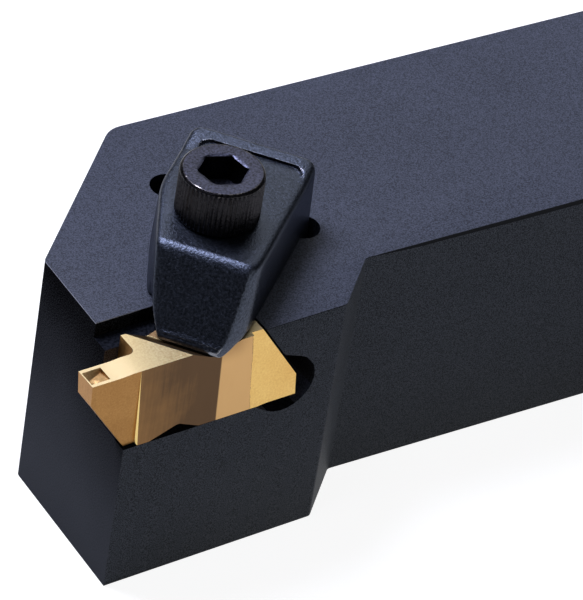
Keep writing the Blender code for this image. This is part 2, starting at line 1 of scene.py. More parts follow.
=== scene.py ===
import logging
import math
from collections.abc import Iterator, Sequence
from contextlib import contextmanager
from dataclasses import dataclass, field
from enum import Enum, IntEnum
from typing import Any

import bmesh
import bpy
import numpy as np
from mathutils import Matrix, Vector


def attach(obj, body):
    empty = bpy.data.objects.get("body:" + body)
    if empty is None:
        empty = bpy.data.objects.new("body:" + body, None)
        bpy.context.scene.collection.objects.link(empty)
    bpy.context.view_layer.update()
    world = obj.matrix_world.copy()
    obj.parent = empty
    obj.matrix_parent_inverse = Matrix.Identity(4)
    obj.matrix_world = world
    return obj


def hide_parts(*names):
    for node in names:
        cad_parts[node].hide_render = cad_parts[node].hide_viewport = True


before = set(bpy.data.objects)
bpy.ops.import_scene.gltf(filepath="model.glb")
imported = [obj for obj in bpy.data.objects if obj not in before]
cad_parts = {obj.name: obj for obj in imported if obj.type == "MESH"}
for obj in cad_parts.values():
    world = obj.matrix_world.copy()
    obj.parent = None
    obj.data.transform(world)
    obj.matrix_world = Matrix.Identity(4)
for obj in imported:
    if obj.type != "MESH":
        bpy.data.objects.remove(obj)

logging.basicConfig(level=logging.INFO, format="%(name)s: %(message)s")
LOG = logging.getLogger("toolholder")

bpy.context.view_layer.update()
Colour = tuple[float, float, float]
Point = tuple[float, float, float]
Grid = np.ndarray

MM = 0.001
ORIGIN: Point = (0.0, 0.0, 0.0)
HOLDER_TOP = 0.0254
INSERT_CENTRE: Point = (-0.06496442, -0.01291164, 0.02085)
INSERT_TURN = math.radians(2.5)


class Body(Enum):
    """Bodies of the frame that a piece can ride on."""

    HOLDER = "holder"
    CLAMP = "clamp"
    SCREW = "clamp_screw"


class Slot(Enum):
    """Material slots of the record."""

    HOLDER = "holder_steel"
    INSERT = "insert_carbide"
    CLAMP = "clamp_steel"
    SCREW = "screw_steel"


class HolderFace(IntEnum):
    """Kinds of face on the holder, in the order of its finishes."""

    TOP = 0
    EDGE = 1
    FRONT = 2
    SIDE = 3


class InsertFace(IntEnum):
    """Kinds of face on the insert, in the order of its finishes."""

    TOP = 0
    SIDE = 1
    BLADE = 2
    NOTCH = 3
    PIT = 4
    STEP = 5


class Signal:
    """A shader socket that is written in Python expressions like a number."""

    def __init__(self, bench: "Bench", socket: Any) -> None:
        """Wrap a socket of a bench's material."""
        self.bench = bench
        self.socket = socket

    def _with(self, operation: str, left: Any, right: Any) -> "Signal":
        """Add one Math node and return its value."""
        return self.bench.add("ShaderNodeMath", {"operation": operation}, {0: left, 1: right})

    def __add__(self, other: Any) -> "Signal":
        """Sum."""
        return self._with("ADD", self, other)

    def __radd__(self, other: Any) -> "Signal":
        """Sum with a number on the left."""
        return self._with("ADD", other, self)

    def __sub__(self, other: Any) -> "Signal":
        """Difference."""
        return self._with("SUBTRACT", self, other)

    def __rsub__(self, other: Any) -> "Signal":
        """Difference with a number on the left."""
        return self._with("SUBTRACT", other, self)

    def __mul__(self, other: Any) -> "Signal":
        """Product."""
        return self._with("MULTIPLY", self, other)

    def __rmul__(self, other: Any) -> "Signal":
        """Product with a number on the left."""
        return self._with("MULTIPLY", other, self)

    def __truediv__(self, other: Any) -> "Signal":
        """Quotient."""
        return self._with("DIVIDE", self, other)

    def __pow__(self, other: Any) -> "Signal":
        """Power."""
        return self._with("POWER", self, other)

    def top(self, other: Any) -> "Signal":
        """The larger of two values."""
        return self._with("MAXIMUM", self, other)

    def low(self, other: Any) -> "Signal":
        """The smaller of two values."""
        return self._with("MINIMUM", self, other)

    def step(self, start: float, end: float) -> "Signal":
        """Smooth rise from 0 to 1 between two values.

        Args:
            start: the value at which the rise begins.
            end: the value at which it ends.

        Returns:
            The risen value, between 0 and 1.
        """
        return self.bench.add(
            "ShaderNodeMapRange",
            {"interpolation_type": "SMOOTHSTEP"},
            {"Value": self, "From Min": start, "From Max": end, "To Min": 0.0, "To Max": 1.0},
        )


class Bench:
    """One material under construction: its nodes and its Principled shader."""

    def __init__(self, name: str) -> None:
        """Start a material with an empty shader.

        Args:
            name: name of the material.
        """
        self.material = bpy.data.materials.new(name)
        self.material.use_nodes = True
        self.tree = self.material.node_tree
        self.shader = self.tree.nodes["Principled BSDF"]

    def add(
        self, kind: str, settings: dict[str, Any], values: dict[Any, Any], out: Any = 0
    ) -> Signal:
        """Add a node, set it up and feed its sockets.

        Args:
            kind: Blender's type name of the node.
            settings: properties of the node, set before its sockets are fed.
            values: socket by name or number, with a number, tuple or Signal for each.
            out: name or number of the output that is returned.

        Returns:
            The chosen output as a Signal.
        """
        node = self.tree.nodes.new(kind)
        for key, value in settings.items():
            setattr(node, key, value)
        for key, value in values.items():
            if isinstance(value, Signal):
                self.tree.links.new(value.socket, node.inputs[key])
            else:
                node.inputs[key].default_value = value
        return Signal(self, node.outputs[out])

    def vector(self, operation: str, *terms: Any) -> Signal:
        """Add one Vector Math node and return its value."""
        return self.add("ShaderNodeVectorMath", {"operation": operation}, dict(enumerate(terms)))

    def place(self) -> Signal:
        """Object coordinates, in metres."""
        return self.add("ShaderNodeTexCoord", {}, {}, "Object")

    def turned_place(self, centre: Point, angle: float, scale: Point) -> Signal:
        """Object coordinates about a centre, turned about Z and stretched.

        Args:
            centre: the point that becomes the origin.
            angle: turn about Z of the new axes, in radians.
            scale: factor along each new axis.

        Returns:
            The new coordinates.
        """
        turned = self.add(
            "ShaderNodeVectorRotate",
            {"rotation_type": "Z_AXIS"},
            {
                "Vector": self.vector("SUBTRACT", self.place(), centre),
                "Center": ORIGIN,
                "Angle": -angle,
            },
        )
        return self.vector("MULTIPLY", turned, scale)

    def parts(self, vector: Signal) -> tuple[Signal, Signal, Signal]:
        """Split a vector.

        Args:
            vector: the vector.

        Returns:
            Its three numbers.
        """
        node = self.tree.nodes.new("ShaderNodeSeparateXYZ")
        self.tree.links.new(vector.socket, node.inputs[0])
        return tuple(Signal(self, output) for output in node.outputs)

    def noise(self, place: Signal, size: float, detail: float, rough: float = 0.5) -> Signal:
        """Add cloudy noise between 0 and 1.

        Args:
            place: coordinates that it lies in.
            size: about how wide its patches are, in metres.
            detail: number of finer layers.
            rough: share of the layer before that each finer layer keeps.

        Returns:
            The noise.
        """
        return self.add(
            "ShaderNodeTexNoise",
            {},
            {"Vector": place, "Scale": 1.0 / size, "Detail": detail, "Roughness": rough},
            "Fac",
        )

    def blend(self, factor: Any, first: Any, second: Any) -> Signal:
        """Mix two colours.

        Args:
            factor: share of the second colour, held between 0 and 1.
            first: a colour or a Signal.
            second: a colour or a Signal.

        Returns:
            The mixed colour.
        """
        def paint(value: Any) -> Any:
            """Give a plain colour its fourth number."""
            return value if isinstance(value, Signal) else (*value, 1.0)

        return self.add(
            "ShaderNodeMix",
            {"data_type": "RGBA", "clamp_factor": True},
            {0: factor, 6: paint(first), 7: paint(second)},
            2,
        )

    def bump(self, relief: Signal, depth: float) -> Signal:
        """Normal of a surface whose relief, between 0 and 1, is a depth in metres high."""
        return self.add(
            "ShaderNodeBump", {}, {"Height": relief, "Distance": depth, "Strength": 1.0}
        )

    def feed(self, **values: Any) -> None:
        """Feed the shader's sockets.

        Args:
            values: a number, colour or Signal by the socket's name, with underscores for spaces.
        """
        for key, value in values.items():
            socket = self.shader.inputs[key.replace("_", " ")]
            if isinstance(value, Signal):
                self.tree.links.new(value.socket, socket)
            elif isinstance(value, tuple):
                socket.default_value = (*value, 1.0)
            else:
                socket.default_value = value


@dataclass(frozen=True)
class OxideFinish:
    """Black oxide on machined or forged steel: cloudy tone, fine grain and soft relief.

    Sizes are in metres. Cloud, speck, streak and fade say how far each drives the tone between
    deep and pale; the fade is painted shade. Worn, shade_line and lit_rim say how far bare metal,
    the painted shade line and the painted highlight on the rim cover the tone where they lie.
    """

    name: str
    deep: Colour
    pale: Colour
    metallic: float = 0.0
    roughness: float = 0.5
    shine: float = 0.3
    relief: float = 0.000012
    speck: float = 0.4
    grain: float = 0.00022
    cloud: float = 0.7
    cloud_size: float = 0.012
    streak: float = 0.0
    streak_size: float = 0.00035
    streak_pull: float = 0.04
    fade: float = 0.0
    fade_height: float = 0.026
    worn: float = 0.0
    worn_size: float = 0.0007
    worn_spread: float = 1.6
    bare: Colour = (0.42, 0.43, 0.47)
    shade_line: float = 0.0
    shade_line_tone: Colour = (0.006, 0.007, 0.009)
    lit_rim: float = 0.0
    rim_tone: Colour = (0.62, 0.65, 0.72)

    @staticmethod
    def top_line(bench: Bench) -> Signal:
        """Painted shade: a dark line on the walls just below the holder's top edge.

        It is a hair wide at the head and widens along the shank's near side, first quickly and
        then by a little more.

        Args:
            bench: the material that it lies in.

        Returns:
            The line's share, between 0 and 1.
        """
        hair, soft = 0.00010, 0.00003
        along, across, up = bench.parts(bench.place())
        near = (across * -1.0).step(0.0080, 0.0090)
        quickly = along.step(-0.0442, -0.0375) * 0.00032
        little = along.step(-0.0380, -0.0260) * 0.00012
        wide = near * (quickly + little) + hair
        below = (up - HOLDER_TOP + wide).step(-soft, soft)
        return below * (1.0 - up.step(HOLDER_TOP - 0.00004, HOLDER_TOP - 0.00001))

    def material(self) -> bpy.types.Material:
        """Tone drifts between two colours in clouds, and grain changes tone, gloss and normal.

        Streaks are grain pulled long along X. A fade, which is painted shade, lowers the tone
        with height up to the holder's top. A painted shade line darkens the walls just below the
        top edge and a painted highlight lightens a thin rim there. Where edges are worn, bare
        metal shows through in patches.

        Returns:
            The material.
        """
        bench = Bench(self.name)
        place = bench.place()
        height = bench.parts(place)[2]
        clouds = bench.noise(place, self.cloud_size, 3.0)
        grain = bench.noise(place, self.grain, 2.0, 0.65)
        fine = bench.noise(place, self.grain * 0.45, 1.0)
        tone = (clouds - 0.5) * self.cloud + 0.5 + (grain - 0.5) * self.speck * 4.0
        if self.streak > 0.0:
            pulled = bench.turned_place(ORIGIN, 0.0, (self.streak_pull, 1.0, 1.0))
            lines = bench.noise(pulled, self.streak_size, 3.0, 0.7)
            tone = tone + (lines - 0.5) * self.streak
        # painted shade: the tone grows darker with height
        if self.fade > 0.0:
            tone = tone - (height.step(0.0, self.fade_height) - 0.5) * self.fade
        colour = bench.blend(tone, self.deep, self.pale)
        # painted shade: a dark line on the walls just below the top edge
        if self.shade_line > 0.0:
            colour = bench.blend(self.top_line(bench) * self.shade_line, colour, self.shade_line_tone)
        # painted highlight: a thin pale line just below the top edge
        if self.lit_rim > 0.0:
            rim = height.step(HOLDER_TOP - 0.00011, HOLDER_TOP - 0.00006) * grain.step(0.25, 0.55)
            colour = bench.blend(rim * self.lit_rim, colour, self.rim_tone)
        if self.worn > 0.0:
            edge = bench.add("ShaderNodeAttribute", {"attribute_name": "wear"}, {}, "Fac")
            patches = bench.noise(place, self.worn_size, 3.0, 0.7)
            bared = (edge + (patches - 0.5) * self.worn_spread).step(0.45, 0.95) * self.worn
            colour = bench.blend(bared, colour, self.bare)
        bench.feed(
            Base_Color=colour,
            Metallic=self.metallic,
            Roughness=(grain - 0.5) * 0.25 + self.roughness,
            Specular_IOR_Level=self.shine,
            Normal=bench.bump(grain * 0.7 + fine * 0.3, self.relief),
        )
        return bench.material


@dataclass(frozen=True)
class GoldFinish:
    """Gold coloured coating on ground carbide, with faint grinding lines.

    Sizes of the grain and lines are in metres. The zones of the long side are a painted
    reflection; their borders lie at a place along the insert in millimetres, with a lean for
    each millimetre of height.
    """

    name: str
    deep: Colour
    pale: Colour
    roughness: float = 0.33
    speck: float = 1.2
    grain: float = 0.00018
    cloud_size: float = 0.0045
    line_size: float = 0.00025
    line_pull: float = 0.08
    relief: float = 0.000005
    zoned: bool = False
    rounded: bool = False
    bleached: bool = False
    bleach: Colour = (0.97, 0.78, 0.46)
    # painted reflection: tones of the dark zone, also used for the ragged line and the shade
    dark_reflection_deep: Colour = (0.115, 0.064, 0.030)
    dark_reflection_pale: Colour = (0.27, 0.142, 0.052)
    dark_reflection_size: float = 0.0028
    fan_pull: float = 0.05
    bow_place: float = 2.47
    bow_lean: float = -0.05
    middle: Colour = (0.70, 0.42, 0.17)
    rear_place: float = 5.93
    rear_lean: float = -0.104
    rear_ragged: float = 0.5
    ragged_size: float = 0.0006

    @staticmethod
    def own_place(bench: Bench) -> tuple[Signal, Signal, Signal]:
        """Place along, across and up the insert from its middle, in millimetres."""
        return bench.parts(bench.turned_place(INSERT_CENTRE, INSERT_TURN, (1e3, 1e3, 1e3)))

    def zones(self, bench: Bench, colour: Signal) -> Signal:
        """Lay the painted reflection of the long side over the plain colour, in three tones.

        Along the insert come a dark zone with upright streaks, a middle zone with painted shade
        near its top up to a ragged dark line, and the plain rear. Both borders lean with the
        height.

        Args:
            bench: the material that they lie in.
            colour: the plain colour.

        Returns:
            The colour with its zones.
        """
        along, _, up = self.own_place(bench)
        ragged = bench.noise(bench.place(), self.ragged_size, 3.0, 0.7)
        clouds = bench.noise(bench.place(), self.dark_reflection_size, 3.0, 0.6)
        pulled = bench.turned_place(INSERT_CENTRE, INSERT_TURN, (1.0, 1.0, self.fan_pull))
        fan = bench.noise(pulled, self.line_size, 2.0, 0.6)
        share = (along * -0.16 + up * -0.05 - 0.12) + (clouds - 0.5) * 1.1 + (fan - 0.5) * 0.7
        # painted reflection: the dark zone with upright streaks
        dark_reflection = bench.blend(share, self.dark_reflection_deep, self.dark_reflection_pale)
        bow = up * self.bow_lean + self.bow_place
        past_bow = (along - bow).step(-0.06, 0.10)
        rear = up * self.rear_lean + self.rear_place + (ragged - 0.5) * self.rear_ragged
        past_rear = (along - rear).step(-0.05, 0.05)
        # painted reflection: a thin dark line along the ragged border
        line = (along - rear + 0.02).step(-0.07, 0.0) * (1.0 - past_rear)
        # painted shade near the top of the middle zone, under the clamp
        shade = up.step(1.8, 4.6) * (1.0 - along.step(3.5, 6.0))
        middle = bench.blend(shade * 0.62, self.middle, self.dark_reflection_pale)
        tone = bench.blend(past_bow, dark_reflection, middle)
        tone = bench.blend(past_rear, tone, colour)
        return bench.blend(line * 0.7, tone, self.dark_reflection_pale)

    def material(self) -> bpy.types.Material:
        """Tone drifts in clouds; grinding lines change the gloss and the normal a little.

        A bleached finish grows paler from the middle to both ends. On a thin rounded step the
        normal bends towards the insert's near side.

        Returns:
            The material.
        """
        bench = Bench(self.name)
        place = bench.place()
        clouds = bench.noise(place, self.cloud_size, 2.0)
        pulled = bench.turned_place(ORIGIN, INSERT_TURN, (1.0, 1.0, self.line_pull))
        lines = bench.noise(pulled, self.line_size, 2.0, 0.6)
        grain = bench.noise(place, self.grain, 2.0, 0.6)
        tone = (clouds - 0.5) * 0.8 + 0.5 + (grain - 0.5) * self.speck
        colour = bench.blend(tone, self.deep, self.pale)
        # painted reflection zones on the long side
        if self.zoned:
            colour = self.zones(bench, colour)
        if self.bleached:
            along = self.own_place(bench)[0]
            colour = bench.blend(along.top(along * -1.0).step(0.8, 8.8), colour, self.bleach)
        normal = bench.bump(lines * 0.5 + grain * 0.5, self.relief)
        if self.rounded:
            normal = bench.vector("NORMALIZE", bench.vector("ADD", normal, (0.0, -1.0, 0.0)))
        bench.feed(
            Base_Color=colour,
            Metallic=1.0,
            Roughness=(lines - 0.5) * 0.2 + self.roughness,
            Normal=normal,
        )
        return bench.material


def soft_min(first: Grid, second: Grid, reach: float) -> Grid:
    """The smaller of two arrays, less a quarter of the squared closeness where they cross."""
    close = np.maximum(reach - np.abs(first - second), 0.0) / reach
    return np.minimum(first, second) - close * close * reach * 0.25


def soft_max(first: Grid, second: Grid, reach: float) -> Grid:
    """The larger of two arrays, rounded where they cross."""
    return -soft_min(-first, -second, reach)


def smooth_rise(values: Grid, start: float, end: float) -> Grid:
    """Rise from 0 to 1 between two values, level at both ends."""
    share = np.clip((values - start) / (end - start), 0.0, 1.0)
    return share * share * (3.0 - 2.0 * share)


def round_off(past: Grid, radius: float) -> Grid:
    """Drop of a quarter round: its radius less the root of radius squared less past squared."""
    over = np.clip(past, 0.0, radius)
    return radius - np.sqrt(np.maximum(radius**2 - over**2, 0.0))


def spaced(stops: list[tuple[float, float]]) -> Grid:
    """Places along a line, laid between stops at each stop's own spacing.

    Args:
        stops: (place, spacing up to the next stop) pairs.

    Returns:
        The places in order, with the last stop at the end.
    """
    runs = [
        np.linspace(start, end, max(2, math.ceil((end - start) / gap) + 1))[:-1]
        for (start, gap), (end, _) in zip(stops[:-1], stops[1:])
    ]
    return np.concatenate(runs + [np.array([stops[-1][0]])])


def standing(centre: Point, turn: float) -> Matrix:
    """Matrix from an own frame with its origin at a centre, turned about Z, to the model."""
    return Matrix.Translation(Vector(centre)) @ Matrix.Rotation(turn, 4, "Z")


def moved(points: Grid, placing: Matrix) -> Grid:
    """Points carried by a matrix, one row each."""
    turn = np.array(placing, dtype=float)
    return points @ turn[:3, :3].T + turn[:3, 3]


@dataclass
class Shell:
    """A closed surface made from a grid of points that is round in its second direction."""

    points: Grid

    def faces(self) -> Grid:
        """Join neighbouring rows and columns, and the last column to the first.

        Returns:
            The quads, as four numbers of points each.
        """
        rows, columns = self.points.shape[:2]
        row = np.arange(rows - 1)[:, None] * columns
        column = np.arange(columns)[None, :]
        following = (column + 1) % columns
        quads = np.stack(
            [row + column, row + following, row + columns + following, row + columns + column],
            axis=-1,
        )
        return quads.reshape(-1, 4)

    def flat(self) -> Grid:
        """The points as one list."""
        return self.points.reshape(-1, 3)


def link(name: str, data: Any) -> bpy.types.Object:
    """Put a new object into the scene, at the origin.

    Args:
        name: name of the object.
        data: its mesh, light or camera.

    Returns:
        The object.
    """
    thing = bpy.data.objects.new(name, data)
    bpy.context.scene.collection.objects.link(thing)
    return thing


@contextmanager
def opened(mesh: bpy.types.Mesh) -> Iterator[bmesh.types.BMesh]:
    """Open a mesh for editing, and write it back at the end of the block.

    Args:
        mesh: the mesh.

    Yields:
        Its form, which can be edited.
    """
    form = bmesh.new()
    form.from_mesh(mesh)
    yield form
    form.to_mesh(mesh)
    form.free()


def build_mesh(name: str, shells: list[Shell], placing: Matrix) -> bpy.types.Object:
    """Make one mesh object from shells whose points are in millimetres.

    The points are turned and moved by the placing matrix. The first and last rows are poles
    whose points fall together, and merging closes them.

    Args:
        name: name of the piece.
        shells: closed grids of points.
        placing: where the piece's own frame lies in the model.

    Returns:
        The object, at the origin, with its place in its mesh.
    """
    points = [shell.flat() for shell in shells]
    starts = np.cumsum([0] + [len(rows) for rows in points])
    quads = [shell.faces() + start for shell, start in zip(shells, starts)]
    mesh = bpy.data.meshes.new(name)
    mesh.from_pydata(moved(np.concatenate(points) * MM, placing), [], np.concatenate(quads))
    with opened(mesh) as form:
        bmesh.ops.remove_doubles(form, verts=form.verts, dist=2e-7)
        bmesh.ops.dissolve_degenerate(form, edges=form.edges, dist=1e-8)
        bmesh.ops.recalc_face_normals(form, faces=form.faces)
    return link(name, mesh)


def copy_of_node(node: str, name: str) -> bpy.types.Object:
    """Copy a solid's mesh, join its loose triangles and merge those that lie in one plane.

    Args:
        node: name of the CAD node.
        name: name of the new piece.

    Returns:
        The piece, at the origin.
    """
    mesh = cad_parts[node].data.copy()
    mesh.name = name
    mesh.materials.clear()
    for layer in ("custom_normal", "sharp_edge", "sharp_face"):
        if layer in mesh.attributes:
            mesh.attributes.remove(mesh.attributes[layer])
    with opened(mesh) as form:
        bmesh.ops.remove_doubles(form, verts=form.verts, dist=1e-6)
        bmesh.ops.dissolve_limit(
            form, angle_limit=math.radians(0.3), verts=form.verts, edges=form.edges
        )
    return link(name, mesh)


def smooth_by_angle(piece: bpy.types.Object, degrees: float) -> None:
    """Shade a piece smooth, with sharp edges where its faces turn more than an angle."""
    piece.data.shade_smooth()
    piece.data.set_sharp_from_angle(angle=math.radians(degrees))


def read(items: Any, key: str, width: int) -> Grid:
    """Read a value of all points or faces of a mesh at once.

    Args:
        items: the mesh's points, faces or values of an attribute.
        key: name of the value.
        width: how many numbers it has.

    Returns:
        The values, one row each.
    """
    values = np.empty(len(items) * width, np.float32)
    items.foreach_get(key, values)
    return values.reshape(-1, width)


def face_data(piece: bpy.types.Object) -> tuple[Grid, Grid]:
    """Normals and centres of a piece's faces, one row each."""
    faces = piece.data.polygons
    return read(faces, "normal", 3), read(faces, "center", 3)


def paint(
    piece: bpy.types.Object, finishes: Sequence[OxideFinish | GoldFinish], kinds: Grid
) -> None:
    """Give a piece its materials, and each face one of them.

    Args:
        piece: the object.
        finishes: one finish for each kind of face.
        kinds: the kind of each face, counted from 0.
    """
    piece.data.materials.clear()
    for finish in finishes:
        piece.data.materials.append(finish.material())
    piece.data.polygons.foreach_set("material_index", kinds.astype(np.int32))


def mark_wear(piece: bpy.types.Object, start: float, full: float) -> None:
    """Store how sharply each point bends outward, as the share that use has worn bare.

    An edge's bend is the angle between its two faces over the faces' width across it. A point
    takes the largest bend of its edges, mapped between two values.

    Args:
        piece: the object whose mesh receives the "wear" attribute.
        start: bend, per millimetre, at which wear begins.
        full: bend at which it is complete.
    """
    form = bmesh.new()
    form.from_mesh(piece.data)
    bends = np.zeros(len(form.verts), np.float32)
    for edge in form.edges:
        if len(edge.link_faces) != 2:
            continue
        length = max(edge.calc_length(), 1e-6)
        width = sum(face.calc_area() for face in edge.link_faces) / length / 2
        bend = edge.calc_face_angle_signed(0.0) / max(width, 1e-5) * MM
        for corner in edge.verts:
            bends[corner.index] = max(bends[corner.index], bend)
    form.free()
    layer = piece.data.attributes.new("wear", "FLOAT", "POINT")
    layer.data.foreach_set("value", np.clip((bends - start) / (full - start), 0.0, 1.0))


def seat(piece: bpy.types.Object, body: Body, slot: Slot, *nodes: str) -> None:
    """Say what a piece rides on and stands for, and report it.

    Args:
        piece: the object.
        body: the body that carries it.
        slot: its slot in the record; not used.
        nodes: the CAD nodes that it stands for.
    """
    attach(piece, body.value)
    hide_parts(*nodes)
    LOG.info("%s rides on %s, %d faces", piece.name, body.value, len(piece.data.polygons))


@dataclass
class HolderBody:
    """The one-piece steel holder, with its pocket, recess, slot and screw hole.

    Places that part its faces by finish are in metres of the model.
    """

    sharp_degrees: float = 28.0
    breaks_behind: float = -0.04
    front_before: float = -0.05
    pocket_before: float = -0.06
    recess_above: float = 0.01
    sunk_above: float = 0.0205
    top_finish: OxideFinish = OxideFinish(
        name="machined_oxide", deep=(0.030, 0.034, 0.045), pale=(0.087, 0.097, 0.131),
        shine=0.12, grain=0.00013, cloud=0.3, speck=1.1, streak=0.2, shade_line=0.95,
    )
    # painted shade: near-black finish for the long broken edges, the recess and the slot
    shaded_edge_finish: OxideFinish = OxideFinish(
        name="edge_painted_shade", deep=(0.004, 0.005, 0.007), pale=(0.018, 0.020, 0.027),
        shine=0.0, roughness=0.42, speck=0.9,
    )
    # painted shade that grows with height, and a painted highlight along the top rim
    front_finish: OxideFinish = OxideFinish(
        name="front_oxide", deep=(0.003, 0.003, 0.003), pale=(0.135, 0.142, 0.155),
        shine=0.0, roughness=0.55, grain=0.00012, cloud=0.35, speck=0.3, fade=0.95, lit_rim=0.9,
    )
    side_finish: OxideFinish = OxideFinish(
        name="side_oxide", deep=(0.016, 0.018, 0.022), pale=(0.134, 0.148, 0.174),
        shine=0.06, grain=0.00010, cloud=0.2, speck=1.1, streak=0.2, shade_line=0.97,
    )

    def dress(self, piece: bpy.types.Object) -> None:
        """Oxide all over, with more contrast on the upright sides.

        The long broken edges, the recess and the slot get painted shade. The front face gets
        painted shade that grows with height and a thin painted highlight along its rim.

        Args:
            piece: the holder.
        """
        normals, centres = face_data(piece)
        tilt, x, z = np.abs(normals[:, 2]), centres[:, 0], centres[:, 2]
        long_break = (tilt > 0.2) & (tilt < 0.97) & (x > self.breaks_behind)
        sunk = (tilt < 0.1) & (z > self.sunk_above)
        front = (normals[:, 0] < -0.9) & (x < self.front_before)
        front |= sunk & (x < self.pocket_before)
        # painted shade: the recess floor and the slot's walls take the shaded edge finish
        recess = (normals[:, 2] > 0.9) & (z < HOLDER_TOP - 0.1 * MM) & (z > self.recess_above)
        recess |= sunk & ~front
        kinds = np.select(
            [long_break | recess, front, tilt < 0.2],
            [HolderFace.EDGE, HolderFace.FRONT, HolderFace.SIDE],
            HolderFace.TOP,
        )
        finishes = (self.top_finish, self.shaded_edge_finish, self.front_finish, self.side_finish)
        paint(piece, finishes, kinds)

    def make(self) -> None:
        """Take the solid's own form, shade its round walls round, dress it and seat it."""
        piece = copy_of_node("holder", "holder_body")
        smooth_by_angle(piece, self.sharp_degrees)
        self.dress(piece)
        seat(piece, Body.HOLDER, Slot.HOLDER, "holder")


@dataclass
class NotchedInsert:
    """The carbide insert in its pocket, with a chip pit pressed into each end's land.

    Its own frame lies in its middle, X along it and Z up, in millimetres.
    """

    land_end: float = 8.15
    land_height: float = 4.3
    ramp: float = 1.1
    pit_end: float = 11.2
    pit_floor: float = 3.4
    pit_depth: float = 0.42
    pit_wall: float = 0.09
    outer_rise: float = 0.55
    pit_cells: int = 28
    blade_end: float = -5.8
    notch_end: float = 6.0
    flank_end: float = 5.0
    step_place: float = 6.1
    step_reach: float = 1.1
    near_side: float = -1.2
    sharp_degrees: float = 24.0
    top_finish: GoldFinish = GoldFinish(
        name="gold_top", deep=(0.70, 0.49, 0.21), pale=(0.95, 0.80, 0.43), roughness=0.36,
        bleached=True, speck=2.4,
    )
    side_finish: GoldFinish = GoldFinish(
        name="gold_side", deep=(0.77, 0.44, 0.12), pale=(1.0, 0.70, 0.24), zoned=True
    )
    blade_finish: GoldFinish = GoldFinish(
        name="gold_blade", deep=(0.34, 0.16, 0.042), pale=(0.52, 0.275, 0.084)
    )
    # painted shade and painted dark reflection for the notch faces
    notch_finish: GoldFinish = GoldFinish(
        name="gold_notch", deep=(0.07, 0.045, 0.022), pale=(0.20, 0.125, 0.06), roughness=0.5
    )
    pit_finish: GoldFinish = GoldFinish(
        name="gold_pit", deep=(0.34, 0.20, 0.08), pale=(0.76, 0.50, 0.22), roughness=0.52
    )
    step_finish: GoldFinish = GoldFinish(
        name="gold_step", deep=(0.90, 0.62, 0.20), pale=(1.0, 0.78, 0.32), rounded=True
    )

    def soften_steps(self, form: bmesh.types.BMesh) -> None:
        """Turn the small step behind each land into a gentle ramp.

        Args:
            form: the insert in its own frame.
        """
        for corner in form.verts:
            at_step = abs(abs(corner.co.x) / MM - self.land_end) < 0.06
            if at_step and abs(corner.co.z) / MM > self.land_height + 0.05:
                corner.co.x -= math.copysign(self.ramp * MM, corner.co.x)

    def pit_relief(self, along: Grid, across: Grid, reach: Grid) -> Grid:
        """Depth of the chip pit over its rim.

        The walls fall within a short run from the rim. A valley runs from the rear inner corner
        to the middle of the front: the inner rim slopes down to it, the floor rises from it to
        the outer rim, and a round hollow lies in the floor near the tip.

        Args:
            along: share of the way from the tip's rim to the rear rim.
            across: share of the way from the outer rim to the inner rim.
            reach: distance to the nearest rim in millimetres.

        Returns:
            Depth in millimetres, negative into the body.
        """
        wall = smooth_rise(reach, 0.0, self.pit_wall)
        valley = 0.42 + 0.50 * along
        inner = (1.0 - across) / np.maximum(1.0 - valley, 0.05)
        outer = 1.0 - self.outer_rise * (valley - across) / valley
        hollow = np.exp(-((along - 0.30) ** 2 + (across - 0.20) ** 2) / 0.030)
        depth = self.pit_depth * (soft_min(inner, outer, 0.12) + 0.35 * hollow)
        return -wall * depth

    def press_pit(self, form: bmesh.types.BMesh, end: float) -> None:
        """Replace one flat-bottomed pit by its pressed form.

        The old walls and floor go, the hole's sides are divided evenly, and a grid whose
        border falls on those points is laid in and merged with them.

        Args:
            form: the insert in its own frame.
            end: -1 for the pit at the tip, on top; +1 for the one at the other end, below.
        """
        old = []
        for face in form.faces:
            middle = face.calc_center_median() / MM
            at_end = middle.x * end > self.land_end
            sunk = self.pit_floor < -end * middle.z < self.land_height - 0.02
            if at_end and sunk and all(abs(v.co.x) / MM < self.pit_end for v in face.verts):
                old.append(face)
        bmesh.ops.delete(form, geom=old, context="FACES")
        rim = [edge for edge in form.edges if len(edge.link_faces) == 1]
        if len(rim) != 4:
            LOG.info("pit at end %d keeps its plain form, rim of %d", end, len(rim))
            return
        corners = np.array([tuple(v.co) for v in {v for edge in rim for v in edge.verts}]) / MM
        bmesh.ops.subdivide_edges(form, edges=rim, cuts=self.pit_cells - 1)
        low, high = corners.min(axis=0), corners.max(axis=0)
        share = np.linspace(0.0, 1.0, self.pit_cells + 1)
        along, across = np.meshgrid(share, share, indexing="ij")
        x = low[0] + along * (high[0] - low[0])
        y = low[1] + across * (high[1] - low[1])
        reach = np.minimum(
            np.minimum(x - low[0], high[0] - x), np.minimum(y - low[1], high[1] - y)
        )
        relief = self.pit_relief(1.0 - along if end > 0 else along, across, reach)
        points = np.stack([x, y, corners[:, 2].mean() + relief * -end], axis=-1) * MM
        net = [[form.verts.new(point) for point in row] for row in points]
        for i in range(self.pit_cells):
            for j in range(self.pit_cells):
                quad = [net[i][j], net[i + 1][j], net[i + 1][j + 1], net[i][j + 1]]
                form.faces.new(quad if end < 0 else quad[::-1])
        bmesh.ops.remove_doubles(form, verts=form.verts, dist=2e-6)

    def build(self) -> bpy.types.Object:
        """Take the solid's form, soften its steps and press its two chip pits.

        Returns:
            The insert.
        """
        piece = copy_of_node("insert", "insert_body")
        placing = standing(INSERT_CENTRE, INSERT_TURN)
        with opened(piece.data) as form:
            form.transform(placing.inverted())
            self.soften_steps(form)
            self.press_pit(form, -1.0)
            self.press_pit(form, 1.0)
            form.transform(placing)
        smooth_by_angle(piece, self.sharp_degrees)
        return piece

